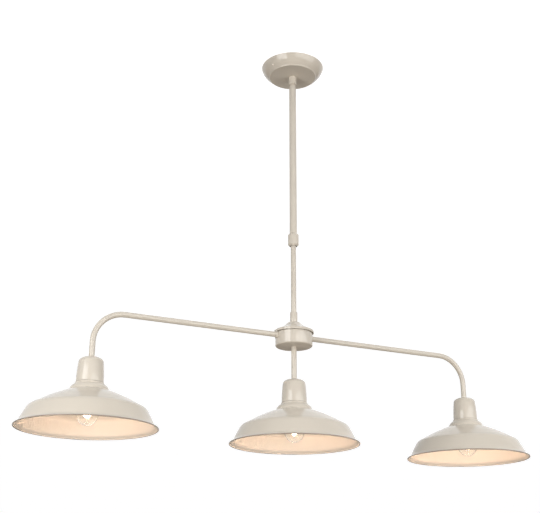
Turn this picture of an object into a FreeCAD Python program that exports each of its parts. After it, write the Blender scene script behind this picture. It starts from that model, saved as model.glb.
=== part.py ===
"""Linear island pendant: a telescopic stem carries a hub with two bent arms and a drop tube,
and each of the three tubes ends in a capped metal shade with a clear golf-ball lamp.

Millimetres, +Z up. The origin is on the stem's axis in the plane of the ceiling, and the
arms lie along X. Threads are left as plain cylinders that clear each other by FIT.
"""
import math
import os

import FreeCAD
import Part

# ---------------------------------------------------------------- driving dimensions
# Stack along the stem, from the ceiling down
CANOPY_HEIGHT = 26.0
TOP_COUPLER_LENGTH = 22.5
UPPER_STEM_SHOWN = 422.0        # from the top coupler to the locking collar
COLLAR_HEIGHT = 33.0
LOWER_STEM_SHOWN = 173.0        # from the collar to the hub coupler, at rest
HUB_COUPLER_LENGTH = 20.0
LID_HEIGHT = 20.0
DRUM_RIM_ABOVE_ARM = 17.0
DRUM_FLOOR_BELOW_ARM = 23.6
CAP_TOP_BELOW_ARM = 104.2

# Arms and tubes
ARM_REACH = 482.0               # stem axis to the axis of an outer shade
ARM_BEND_RADIUS = 68.0
TUBE_RADIUS = 6.35              # arms, drop tube and lower stem
TUBE_WALL = 1.2
UPPER_STEM_RADIUS = 9.0
UPPER_STEM_WALL = 1.0
NIPPLE_RADIUS = 5.0             # hollow M10 threaded tube
NIPPLE_BORE_RADIUS = 3.5
NIPPLE_GRIP = 10.0              # thread engaged at each end
NUT_ACROSS_FLATS = 14.0
NUT_HEIGHT = 4.0

# Ceiling canopy and bracket
CANOPY_RADIUS = 80.5
CANOPY_BEAD_RADIUS = 62.5       # foot of the wall, where the coved bottom edge starts
CANOPY_FLAT_RADIUS = 57.0
CANOPY_BEAD_HEIGHT = 3.4
CANOPY_SHEET = 1.0
TOP_COUPLER_RADIUS = 10.7
PLUG_NECK_LENGTH = 4.0          # groove that shows between the coupler and the plug
PLUG_NECK_RADIUS = 7.0
PLUG_SHOULDER_LENGTH = 8.0
PLUG_SPIGOT_LENGTH = 8.0
CANOPY_WALL_BOW = 3.0           # how far the middle of the wall stands in from its chord
CANOPY_BEAD_BOW = 1.1
BRACKET_TURN = 19.0             # degrees about Z, from the arms' direction
BRACKET_WIDTH = 22.0
BRACKET_SHEET = 1.5
EAR_DEPTH = 14.0
CEILING_HOLE_CIRCLE = 100.0     # pitch circle of the two holes for the ceiling screws
CEILING_HOLE_RADIUS = 2.6
SIDE_SCREW_DEPTH = 9.5          # below the ceiling
SIDE_SCREW_RADIUS = 2.0
SIDE_SCREW_HEAD_RADIUS = 3.0
SIDE_SCREW_HEAD_HEIGHT = 2.0

# Locking collar and sliding guide
COLLAR_RADIUS = 13.2
COLLAR_CHAMFER = 3.8
COLLAR_MOUTH_RADIUS = 9.0
STEM_IN_COLLAR = 21.0
COLLET_HEIGHT = 10.0
STEM_INSIDE = 266.0             # lower stem hidden above the collar's lower end, at rest
GUIDE_HEIGHT = 14.0
CLIP_HEIGHT = 1.5
CLIP_GROOVE = 0.5

# Hub
DRUM_RADIUS = 44.5
DRUM_SHEET = 1.2
DRUM_EDGE_RADIUS = 3.5
LID_LIP = 2.2                   # overhang past the drum
LID_CONE_TOP_RADIUS = 12.3
LID_CONE_FOOT_RADIUS = 21.0
LID_CONE_HEIGHT = 7.4
HUB_COUPLER_RADIUS = 8.7
FERRULE_RADIUS = 8.7
FERRULE_LENGTH = 3.8

# Shade and its cap: heights are above the rim's plane
SHADE_RADIUS = 150.0
SHADE_TOP = 97.0
SHADE_TOP_RADIUS = 28.3
SHADE_NECK_RADIUS = 30.9        # foot of the rounded step that the cap stands on
SHADE_NECK_FOOT = 92.6
SHADE_NECK_BOW = 1.29
SHADE_CROWN_RADIUS = 42.4       # foot of the small dome under the neck
SHADE_CROWN_FOOT = 79.3
SHADE_CROWN_BOW = 2.22
SHADE_SLOPE_INSET = 34.0        # foot of the long slope, in from the rim
SHADE_SLOPE_FOOT = 45.2
SHADE_SLOPE_BOW = 1.93
SHADE_SHOULDER_INSET = 22.0
SHADE_SHOULDER_FOOT = 33.4
SHADE_SHOULDER_BOW = 1.77
SHADE_SKIRT_INSET = 9.4
SHADE_SKIRT_FOOT = 8.4
SHADE_SKIRT_BOW = 0.4
SHADE_FLARE_INSET = 1.6
SHADE_FLARE_FOOT = 2.2
SHADE_FLARE_BOW = -0.65         # hollow, so that the rim turns outwards
SHADE_RIM_BOW = 0.47
CAP_TOP = 150.8
SHADE_SHEET = 1.0
CAP_SHEET = 1.2
CAP_RADIUS = 29.3
CAP_TOP_RADIUS = 15.5
CAP_SLOPE_RADIUS = 22.9         # foot of the gently sloping top
CAP_SLOPE_DROP = 3.5
CAP_SLOPE_BOW = 0.51
CAP_SHOULDER_RADIUS = 26.7
CAP_SHOULDER_DROP = 10.9
CAP_SHOULDER_BOW = 0.99
CAP_WALL_BOW = 0.6

# Lampholder, ring and lamp: heights are above the rim's plane
SHADE_HOLE_RADIUS = 20.2
HOLDER_SKIRT_RADIUS = 19.4
HOLDER_FLANGE_RADIUS = 22.0
HOLDER_MOUTH = 57.0
HOLDER_FLOOR = 84.0
HOLDER_TOP = 122.0
HOLDER_BORE_RADIUS = 14.3
HOLDER_FLANGE_HEIGHT = 3.0
HOLDER_BODY_HEIGHT = 11.0       # full width above the flange's lower face
HOLDER_NECK_RADIUS = 9.0
HOLDER_SHOULDER_RADIUS = 11.0
HOLDER_SHOULDER_RISE = 4.0
RING_RADIUS = 25.0
RING_HEIGHT = 8.0
LAMP_RADIUS = 23.0
LAMP_CENTRE = 29.0
LAMP_NECK_RADIUS = 11.6
LAMP_NECK_END = 64.0
LAMP_SHOULDER_RADIUS = 14.3     # where the neck's flare meets the globe
LAMP_SHOULDER_HEIGHT = 8.5
LAMP_SHOULDER_BOW = -0.79
LAMP_CAP_RADIUS = 13.2
LAMP_CAP_FOOT = 58.0
LAMP_CAP_HEIGHT = 18.0          # screwed part
LAMP_CONTACT_RADIUS = 4.8
FILAMENT_RISE = 3.0             # above the globe's centre
FILAMENT_RADIUS = 7.0
FILAMENT_WIRE_RADIUS = 0.4
FILAMENT_TURN = 230.0           # degrees of the open ring
MOUNT_RISE = 9.0                # lower end of the glass stem, above the globe's centre
MOUNT_RADIUS = 1.6
SUPPORT_WIRE_RADIUS = 0.35
GLASS_WALL = 0.8

# Wiring
FLEX_RADIUS = 2.8
LEAD_RADIUS = 2.6
CORE_RADIUS = 1.0
LEAD_IN_HOLDER = 20.0           # lead's end, above the floor of the lampholder's bore

# Clearances
FIT = 0.05                      # thread or spigot in its hole, on the radius
SEAT = 0.2                      # hidden gap between seated faces that curve
SLIDE_FIT = 0.08                # running fit of the telescopic stem, on the radius
BRACKET_GAP = 0.43              # from the corners of the bracket's ears to the canopy
THREAD_PAST_EAR = 1.5           # end of each side screw beyond its ear

# ---------------------------------------------------------------- levels and shared sizes
CANOPY_FLOOR_Z = -CANOPY_HEIGHT
TOP_COUPLER_END_Z = CANOPY_FLOOR_Z - TOP_COUPLER_LENGTH
COLLAR_TOP_Z = TOP_COUPLER_END_Z - UPPER_STEM_SHOWN
COLLAR_END_Z = COLLAR_TOP_Z - COLLAR_HEIGHT
HUB_COUPLER_TOP_Z = COLLAR_END_Z - LOWER_STEM_SHOWN
LID_TOP_Z = HUB_COUPLER_TOP_Z - HUB_COUPLER_LENGTH
DRUM_RIM_Z = LID_TOP_Z - LID_HEIGHT
ARM_Z = DRUM_RIM_Z - DRUM_RIM_ABOVE_ARM
DRUM_FLOOR_Z = ARM_Z - DRUM_FLOOR_BELOW_ARM
CAP_TOP_Z = ARM_Z - CAP_TOP_BELOW_ARM
RIM_Z = CAP_TOP_Z - CAP_TOP
STEM_TOP_Z = COLLAR_END_Z + STEM_INSIDE
STEM_END_Z = COLLAR_TOP_Z - STEM_IN_COLLAR
TUBE_BORE_RADIUS = TUBE_RADIUS - TUBE_WALL
UPPER_BORE_RADIUS = UPPER_STEM_RADIUS - UPPER_STEM_WALL
NIPPLE_HOLE_RADIUS = NIPPLE_RADIUS + FIT
WIRE_WAY_RADIUS = LEAD_RADIUS + 0.5
LAMP_PLACES = {"left": -ARM_REACH, "centre": 0.0, "right": ARM_REACH}

V = FreeCAD.Vector
ORIGIN = V(0, 0, 0)
UP = V(0, 0, 1)


# ---------------------------------------------------------------- small geometry helpers
def profile(start, steps):
    """Open wire in the XZ plane: each step is (r, z) for a line or (mid, end) for an arc."""
    edges = []
    here = V(start[0], 0, start[1])
    for step in steps:
        if isinstance(step[0], tuple):
            middle, end = (V(r, 0, z) for r, z in step)
            edges.append(Part.Arc(here, middle, end).toShape())
        else:
            end = V(step[0], 0, step[1])
            edges.append(Part.LineSegment(here, end).toShape())
        here = end
    return Part.Wire(edges)


def bowed(*stations):
    """Outline from (radius, height, bow) stations: the bow of the arc that ends at a station.

    A bow is how far the arc's middle stands off its chord, to the left of its run, and a
    station without one ends a straight line.
    """
    steps = []
    here = stations[0]
    for station in stations[1:]:
        end = station[:2]
        if len(station) == 3:
            run = V(end[0] - here[0], end[1] - here[1], 0)
            off = V(-run.y, run.x, 0) * (station[2] / run.Length)
            middle = (0.5 * (here[0] + end[0]) + off.x, 0.5 * (here[1] + end[1]) + off.y)
            steps.append((middle, end))
        else:
            steps.append(end)
        here = end
    return stations[0], steps


def turned(start, steps):
    """Solid of revolution about Z from an outline that closes on itself."""
    outline = profile(start, [*steps, start])
    return Part.Face(outline).revolve(ORIGIN, UP, 360)


def spun(start, steps, sheet):
    """Sheet bowl about Z: the outline is its outer face, with the metal on its inner side.

    The section is trimmed level with the higher and the lower end of the outline.
    """
    outline = profile(start, steps)
    section = outline.makeOffset2D(-sheet, 0, True, True, False).Faces[0]
    limits = outline.BoundBox
    frame = [(0, limits.ZMin), (limits.XMax + sheet, limits.ZMin), (limits.XMax + sheet, limits.ZMax),
             (0, limits.ZMax), (0, limits.ZMin)]
    window = Part.Face(Part.makePolygon([V(x, 0, z) for x, z in frame]))
    return section.common(window).Faces[0].revolve(ORIGIN, UP, 360)


def rod(radius, low, high):
    return Part.makeCylinder(radius, high - low, V(0, 0, low))


def tube(bore, radius, low, high):
    return rod(radius, low, high).cut(rod(bore, low - 1, high + 1))


def rounded_rod(radius, low, high, low_edge=0.0, high_edge=0.0):
    """Cylinder with quarter-round edges at its ends, where their radius is above zero."""
    bend = 1 - math.sqrt(0.5)
    steps = [(radius - low_edge, low)]
    if low_edge:
        steps.append(((radius - bend * low_edge, low + bend * low_edge), (radius, low + low_edge)))
    steps.append((radius, high - high_edge))
    if high_edge:
        steps.append(((radius - bend * high_edge, high - bend * high_edge), (radius - high_edge, high)))
    steps.append((0, high))
    return turned((0, low), steps)


def nut(low):
    """Hexagon nut on a hollow nipple along Z, with its lower face at the height given."""
    corner = NUT_ACROSS_FLATS / math.sqrt(3)
    corners = [V(corner * math.cos(math.radians(60 * i)), corner * math.sin(math.radians(60 * i)), low)
               for i in range(7)]
    prism = Part.Face(Part.makePolygon(corners)).extrude(V(0, 0, NUT_HEIGHT))
    return prism.cut(rod(NIPPLE_HOLE_RADIUS, low - 1, low + NUT_HEIGHT + 1))


def box(x, y, z):
    """Box between the two limits given for each axis."""
    return Part.makeBox(x[1] - x[0], y[1] - y[0], z[1] - z[0], V(x[0], y[0], z[0]))


def along_x(shape, side):
    """Turn a shape built along +Z so that it points along X, to the side given (1 or -1)."""
    turned_shape = shape.copy()
    turned_shape.rotate(ORIGIN, V(0, 1, 0), 90 * side)
    turned_shape.translate(V(0, 0, ARM_Z))
    return turned_shape


def at_bracket(shape):
    """Turn a shape built along X to the bracket's direction."""
    shape = shape.copy()
    shape.rotate(ORIGIN, UP, BRACKET_TURN)
    return shape


def swept(radius, points_and_arcs):
    """Round bar along a path in the XZ plane, given as for a profile."""
    path = profile(*points_and_arcs)
    first = path.Edges[0]
    start = first.valueAt(first.FirstParameter)
    section = Part.Wire(Part.makeCircle(radius, start, first.tangentAt(first.FirstParameter)))
    return path.makePipeShell([section], True, False)


PIECES = {}


def keep(name, *solids):
    """Store a node: one solid, or a group of like solids."""
    found = [solid for shape in solids for solid in shape.Solids]
    PIECES[name] = found[0] if len(found) == 1 else Part.makeCompound(found)


# ---------------------------------------------------------------- ceiling end
def canopy_wall():
    """Outer face of the canopy: a spun dish with a hollow wall, a coved edge and a flat floor."""
    return bowed((CANOPY_RADIUS, 0.0),
                 (CANOPY_BEAD_RADIUS, CANOPY_FLOOR_Z + CANOPY_BEAD_HEIGHT, -CANOPY_WALL_BOW),
                 (CANOPY_FLAT_RADIUS, CANOPY_FLOOR_Z, -CANOPY_BEAD_BOW),
                 (NIPPLE_HOLE_RADIUS, CANOPY_FLOOR_Z))


def canopy_radius_at(depth):
    """Outer radius of the canopy's wall at a depth below the ceiling."""
    edge = profile(*canopy_wall()).Edges[0]
    level = Part.makeLine(V(0, 0, -depth), V(2 * CANOPY_RADIUS, 0, -depth))
    return edge.distToShape(level)[1][0][0].x


def bracket_reach():
    """Half length of the bracket, whose ears' lower corners just clear the canopy's wall."""
    inner_radius = canopy_radius_at(EAR_DEPTH) - CANOPY_SHEET - BRACKET_GAP
    return math.sqrt(inner_radius ** 2 - (0.5 * BRACKET_WIDTH) ** 2)


def side_screws(reach):
    """Pair of domed screws through the canopy's wall into the bracket's ears, along X."""
    seat = canopy_radius_at(SIDE_SCREW_DEPTH - SIDE_SCREW_HEAD_RADIUS)
    ball = (SIDE_SCREW_HEAD_RADIUS ** 2 + SIDE_SCREW_HEAD_HEIGHT ** 2) / (2 * SIDE_SCREW_HEAD_HEIGHT)
    slope = 0.5 * math.asin(SIDE_SCREW_HEAD_RADIUS / ball)
    dome = (ball * math.sin(slope), seat + SIDE_SCREW_HEAD_HEIGHT - ball * (1 - math.cos(slope)))
    shank_end = reach - BRACKET_SHEET - THREAD_PAST_EAR
    screw = turned((0, shank_end),
                   [(SIDE_SCREW_RADIUS, shank_end), (SIDE_SCREW_RADIUS, seat),
                    (SIDE_SCREW_HEAD_RADIUS, seat), (dome, (0, seat + SIDE_SCREW_HEAD_HEIGHT))])
    pair = []
    for side in (1, -1):
        one = screw.copy()
        one.rotate(ORIGIN, V(0, 1, 0), 90 * side)
        one.translate(V(0, 0, -SIDE_SCREW_DEPTH))
        pair.append(one)
    return pair


def make_ceiling_end():
    reach = bracket_reach()
    screws = side_screws(reach)
    half = 0.5 * BRACKET_WIDTH
    strap = box((-reach, reach), (-half, half), (-BRACKET_SHEET, 0))
    for side in (1, -1):
        ends = sorted((side * reach, side * (reach - BRACKET_SHEET)))
        strap = strap.fuse(box(ends, (-half, half), (-EAR_DEPTH, 0)))
    strap = strap.removeSplitter()
    for side in (1, -1):
        hole = rod(CEILING_HOLE_RADIUS, -EAR_DEPTH, 1)
        hole.translate(V(side * 0.5 * CEILING_HOLE_CIRCLE, 0, 0))
        strap = strap.cut(hole)
    thread = Part.makeCylinder(SIDE_SCREW_RADIUS + FIT, 2 * CANOPY_RADIUS,
                               V(-CANOPY_RADIUS, 0, -SIDE_SCREW_DEPTH), V(1, 0, 0))
    keep("ceiling_bracket", at_bracket(strap.cut(thread)))

    keep("canopy", spun(*canopy_wall(), CANOPY_SHEET).cut(at_bracket(thread)))
    keep("canopy_side_screws", *[at_bracket(screw) for screw in screws])

    floor = CANOPY_FLOOR_Z + CANOPY_SHEET
    washer = 1.0
    nut_z = floor + washer
    grip_z = nut_z + NUT_HEIGHT
    nipple_top = grip_z + 6.0
    keep("top_washer", tube(NIPPLE_HOLE_RADIUS, NUT_ACROSS_FLATS * 0.7, floor, nut_z))
    keep("top_locknut", nut(nut_z))
    keep("top_nipple", tube(NIPPLE_BORE_RADIUS, NIPPLE_RADIUS, CANOPY_FLOOR_Z - NIPPLE_GRIP, nipple_top))
    grip = rounded_rod(NIPPLE_RADIUS + 2.5, grip_z, nipple_top + 2.5, 0, 1.5)
    grip = grip.cut(rod(NIPPLE_HOLE_RADIUS, grip_z - 1, nipple_top))
    keep("cord_grip", grip.cut(rod(FLEX_RADIUS + FIT, grip_z, nipple_top + 3)))

    block_x, block_y = (22.0, 46.0), (-8.0, 8.0)
    block_z = (-BRACKET_SHEET - 12.0, -BRACKET_SHEET)
    block = box(block_x, block_y, block_z)
    core_z = 0.5 * (block_z[0] + block_z[1])
    flex_top = nipple_top + 4.0
    cores = []
    for i in (-1, 0, 1):
        y = i * 5.3
        way_in = Part.makeCylinder(CORE_RADIUS + 2 * FIT, 12, V(block_x[0] - 1, y, core_z), V(1, 0, 0))
        screw_well = Part.makeCylinder(1.6, 5, V(block_x[0] + 5, y, block_z[0] - 1), UP)
        block = block.cut(way_in).cut(screw_well)
        start = V(0, i * 2.2, flex_top + CORE_RADIUS + FIT)
        bend = V(block_x[0] - 3, y, core_z)
        path = Part.makePolygon([start, bend, V(block_x[0] + 8, y, core_z)])
        section = Part.Wire(Part.makeCircle(CORE_RADIUS, start, bend - start))
        cores.append(path.makePipeShell([section], True, False, 2))
    keep("supply_terminal_block", at_bracket(block))
    keep("canopy_cores", *[at_bracket(core) for core in cores])
    return flex_top


# ---------------------------------------------------------------- telescopic stem
def make_stem(flex_top):
    coupler = rounded_rod(TOP_COUPLER_RADIUS, TOP_COUPLER_END_Z, CANOPY_FLOOR_Z, 0.8, 2.5)
    keep("top_coupler", coupler.cut(rod(NIPPLE_HOLE_RADIUS, TOP_COUPLER_END_Z - 1, CANOPY_FLOOR_Z + 1)))

    shoulder_top = TOP_COUPLER_END_Z - PLUG_NECK_LENGTH
    shoulder_end = shoulder_top - PLUG_SHOULDER_LENGTH
    spigot_end = shoulder_end - PLUG_SPIGOT_LENGTH
    spigot_radius = UPPER_BORE_RADIUS - FIT
    thread_top = CANOPY_FLOOR_Z - NIPPLE_GRIP - 0.5
    plug = rounded_rod(UPPER_STEM_RADIUS, shoulder_end, shoulder_top, 0, 2.0)
    plug = plug.fuse([rod(spigot_radius, spigot_end, shoulder_end),
                      rod(PLUG_NECK_RADIUS, shoulder_top, TOP_COUPLER_END_Z),
                      rod(NIPPLE_RADIUS, TOP_COUPLER_END_Z, thread_top)])
    plug = plug.cut(rod(NIPPLE_BORE_RADIUS, spigot_end - 1, thread_top + 1))
    keep("stem_top_plug", plug.removeSplitter())
    keep("upper_stem", tube(UPPER_BORE_RADIUS, UPPER_STEM_RADIUS, STEM_END_Z, shoulder_end))

    # The collar screws up the upper stem and its cone closes the split collet on the lower stem.
    cone_top = STEM_END_Z
    cone_end = COLLAR_END_Z + 1.5
    bore = UPPER_STEM_RADIUS + SLIDE_FIT
    cone_radius = UPPER_STEM_RADIUS - 0.6
    collar = turned((COLLAR_MOUTH_RADIUS, COLLAR_END_Z),
                    [(COLLAR_MOUTH_RADIUS + 0.6, COLLAR_END_Z),
                     (COLLAR_RADIUS, COLLAR_END_Z + COLLAR_CHAMFER),
                     (COLLAR_RADIUS, COLLAR_TOP_Z - COLLAR_CHAMFER),
                     (bore + 0.3, COLLAR_TOP_Z), (bore, COLLAR_TOP_Z), (bore, cone_top),
                     (cone_radius, cone_end), (COLLAR_MOUTH_RADIUS, cone_end)])
    keep("height_collar", collar)

    inner = TUBE_RADIUS + SLIDE_FIT
    collet_end = cone_top - COLLET_HEIGHT
    taper = (bore - cone_radius) / (cone_top - cone_end)
    collet = turned((inner, collet_end),
                    [(bore - SEAT - taper * COLLET_HEIGHT, collet_end), (bore - SEAT, cone_top),
                     (inner, cone_top)])
    split = box((inner - 1, COLLAR_RADIUS), (-0.6, 0.6), (collet_end - 1, cone_top - 2))
    for turn in (0, 120, 240):
        slot = split.copy()
        slot.rotate(ORIGIN, UP, turn)
        collet = collet.cut(slot)
    keep("clamp_collet", collet)

    # The nylon guide runs in the upper stem and turns on the lower stem between two clips.
    clip_top = STEM_TOP_Z - 3.0
    guide_top = clip_top - CLIP_HEIGHT - SEAT
    guide_end = guide_top - GUIDE_HEIGHT
    low_clip = guide_end - SEAT - CLIP_HEIGHT
    groove = TUBE_RADIUS - CLIP_GROOVE
    clip_radius = UPPER_BORE_RADIUS - 0.4
    guide = tube(TUBE_RADIUS + SLIDE_FIT, UPPER_BORE_RADIUS - SLIDE_FIT, guide_end, guide_top)
    keep("guide_bush", guide)
    lower = tube(TUBE_BORE_RADIUS, TUBE_RADIUS, HUB_COUPLER_TOP_Z - NIPPLE_GRIP, STEM_TOP_Z)
    clips = []
    for low in (clip_top - CLIP_HEIGHT, low_clip):
        high = low + CLIP_HEIGHT
        lower = lower.cut(tube(groove, TUBE_RADIUS + 1, low, high))
        clip = tube(groove + FIT, clip_radius, low + FIT, high - FIT)
        mouth = box((0, clip_radius + 1), (-0.6 * groove, 0.6 * groove), (low - 1, high + 1))
        clips.append(clip.cut(mouth))
    keep("lower_stem", lower)
    keep("guide_clips", *clips)

    meet = STEM_TOP_Z
    keep("upper_supply_flex", rod(FLEX_RADIUS, meet + SEAT, flex_top))
    keep("lower_supply_flex", rod(FLEX_RADIUS, ARM_Z + 9.0, meet - SEAT))


# ---------------------------------------------------------------- hub
def make_hub():
    stem_seat = HUB_COUPLER_TOP_Z - NIPPLE_GRIP
    coupler = rounded_rod(HUB_COUPLER_RADIUS, LID_TOP_Z, HUB_COUPLER_TOP_Z, 0, 0.8)
    coupler = coupler.cut(rod(TUBE_RADIUS + FIT, stem_seat, HUB_COUPLER_TOP_Z + 1))
    keep("hub_coupler", coupler.cut(rod(NIPPLE_HOLE_RADIUS, LID_TOP_Z - 1, stem_seat + 1)))

    lid_radius = DRUM_RADIUS + LID_LIP
    cone_foot = LID_TOP_Z - LID_CONE_HEIGHT
    slope_height = cone_foot - DRUM_RIM_Z
    crown = (0.5 * (LID_CONE_FOOT_RADIUS + lid_radius), DRUM_RIM_Z + 0.58 * slope_height)
    lid = spun((NIPPLE_HOLE_RADIUS, LID_TOP_Z),
               [(LID_CONE_TOP_RADIUS, LID_TOP_Z),
                ((LID_CONE_TOP_RADIUS + 0.9, LID_TOP_Z - 0.35), (LID_CONE_TOP_RADIUS + 1.6, LID_TOP_Z - 1.1)),
                (LID_CONE_FOOT_RADIUS, cone_foot),
                (crown, (lid_radius - 0.8, DRUM_RIM_Z + 1.6)),
                ((lid_radius - 0.2, DRUM_RIM_Z + 1.0), (lid_radius, DRUM_RIM_Z))], DRUM_SHEET)
    keep("hub_lid", lid)

    drum = spun((DRUM_RADIUS, DRUM_RIM_Z),
                [(DRUM_RADIUS, DRUM_FLOOR_Z + DRUM_EDGE_RADIUS),
                 ((DRUM_RADIUS - DRUM_EDGE_RADIUS * (1 - math.sqrt(0.5)),
                   DRUM_FLOOR_Z + DRUM_EDGE_RADIUS * (1 - math.sqrt(0.5))),
                  (DRUM_RADIUS - DRUM_EDGE_RADIUS, DRUM_FLOOR_Z)),
                 (NIPPLE_HOLE_RADIUS, DRUM_FLOOR_Z)], DRUM_SHEET)
    arm_holes = Part.makeCylinder(NIPPLE_HOLE_RADIUS, 3 * DRUM_RADIUS,
                                  V(-1.5 * DRUM_RADIUS, 0, ARM_Z), V(1, 0, 0))
    keep("hub_drum", drum.cut(arm_holes))

    rod_end = DRUM_FLOOR_Z - NIPPLE_GRIP
    rod_top = stem_seat - SEAT
    centre_rod = tube(NIPPLE_BORE_RADIUS, NIPPLE_RADIUS, rod_end, rod_top)
    window = box((-2.4, 2.4), (0, NIPPLE_RADIUS + 1), (ARM_Z - 7, ARM_Z + 7))
    keep("hub_centre_rod", centre_rod.cut(window))
    keep("hub_locknuts", nut(LID_TOP_Z - DRUM_SHEET - NUT_HEIGHT), nut(DRUM_FLOOR_Z + DRUM_SHEET))

    floor = DRUM_FLOOR_Z + DRUM_SHEET
    block = box((-15, 15), (12, 28), (floor, floor + 11))
    for i in (-1, 0, 1):
        well = Part.makeCylinder(1.6, 5, V(i * 9.5, 20, floor + 7), UP)
        way = Part.makeCylinder(CORE_RADIUS + FIT, 20, V(i * 9.5, 10, floor + 5), V(0, 1, 0))
        block = block.cut(well).cut(way)
    keep("hub_terminal_block", block)


# ---------------------------------------------------------------- arms and drop tube
def arm_path(start_x, end_z, side):
    """Line, quarter bend and line in the XZ plane, from the hub out and down to a cap."""
    bend_x = ARM_REACH - ARM_BEND_RADIUS
    middle_x = bend_x + ARM_BEND_RADIUS * math.sqrt(0.5)
    middle_z = ARM_Z - ARM_BEND_RADIUS * (1 - math.sqrt(0.5))
    return ((side * start_x, ARM_Z),
            [(side * bend_x, ARM_Z),
             ((side * middle_x, middle_z), (side * ARM_REACH, ARM_Z - ARM_BEND_RADIUS)),
             (side * ARM_REACH, end_z)])


def make_arms():
    wall = DRUM_RADIUS
    tube_start = wall + 0.1
    plug_end = tube_start + NIPPLE_GRIP
    inner_wall = math.sqrt((DRUM_RADIUS - DRUM_SHEET) ** 2 - NUT_ACROSS_FLATS ** 2 / 3)
    nut_start = inner_wall - NUT_HEIGHT
    spigot_start = nut_start - 2.0
    drum_space = rod(DRUM_RADIUS, DRUM_FLOOR_Z, DRUM_RIM_Z)
    ferrules, nuts = [], []
    for name, side in (("arm_left", -1), ("arm_right", 1)):
        outer = swept(TUBE_RADIUS, arm_path(tube_start, CAP_TOP_Z, side))
        inner = swept(TUBE_BORE_RADIUS, arm_path(plug_end, CAP_TOP_Z - 1, side))
        spigot = along_x(rod(NIPPLE_RADIUS, spigot_start, tube_start), side)
        wire_way = along_x(rod(NIPPLE_BORE_RADIUS, spigot_start - 1, plug_end + 1), side)
        keep(name, outer.fuse(spigot).cut(inner).cut(wire_way))
        ring = rounded_rod(FERRULE_RADIUS, wall - 3, wall + FERRULE_LENGTH, 0, 1.5)
        ring = ring.cut(rod(TUBE_RADIUS + FIT, wall - 4, wall + FERRULE_LENGTH + 1))
        ferrules.append(along_x(ring, side).cut(drum_space))
        nuts.append(along_x(nut(nut_start), side))
    keep("arm_ferrules", *ferrules)
    keep("arm_locknuts", *nuts)
    keep("drop_tube", tube(TUBE_BORE_RADIUS, TUBE_RADIUS, CAP_TOP_Z, DRUM_FLOOR_Z))

    lead_end = RIM_Z + HOLDER_FLOOR + LEAD_IN_HOLDER
    leads = [swept(LEAD_RADIUS, arm_path(spigot_start - 6, lead_end, side)) for side in (-1, 1)]
    leads.append(rod(LEAD_RADIUS, lead_end, ARM_Z - 6.0))
    keep("lamp_leads", *leads)


# ---------------------------------------------------------------- shades and lamps
def shade_outline():
    """Outer face of the shade, from the hole at its top to its rim."""
    return bowed((SHADE_HOLE_RADIUS, SHADE_TOP),
                 (SHADE_TOP_RADIUS, SHADE_TOP),
                 (SHADE_NECK_RADIUS, SHADE_NECK_FOOT, SHADE_NECK_BOW),
                 (SHADE_CROWN_RADIUS, SHADE_CROWN_FOOT, SHADE_CROWN_BOW),
                 (SHADE_RADIUS - SHADE_SLOPE_INSET, SHADE_SLOPE_FOOT, SHADE_SLOPE_BOW),
                 (SHADE_RADIUS - SHADE_SHOULDER_INSET, SHADE_SHOULDER_FOOT, SHADE_SHOULDER_BOW),
                 (SHADE_RADIUS - SHADE_SKIRT_INSET, SHADE_SKIRT_FOOT, SHADE_SKIRT_BOW),
                 (SHADE_RADIUS - SHADE_FLARE_INSET, SHADE_FLARE_FOOT, SHADE_FLARE_BOW),
                 (SHADE_RADIUS, 0.0, SHADE_RIM_BOW))


def cap_outline():
    """Outer face of the cap, from the hole at its top to its foot on the shade."""
    return bowed((NIPPLE_HOLE_RADIUS, CAP_TOP),
                 (CAP_TOP_RADIUS, CAP_TOP),
                 (CAP_SLOPE_RADIUS, CAP_TOP - CAP_SLOPE_DROP, CAP_SLOPE_BOW),
                 (CAP_SHOULDER_RADIUS, CAP_TOP - CAP_SHOULDER_DROP, CAP_SHOULDER_BOW),
                 (CAP_RADIUS, SHADE_TOP, CAP_WALL_BOW))


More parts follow.
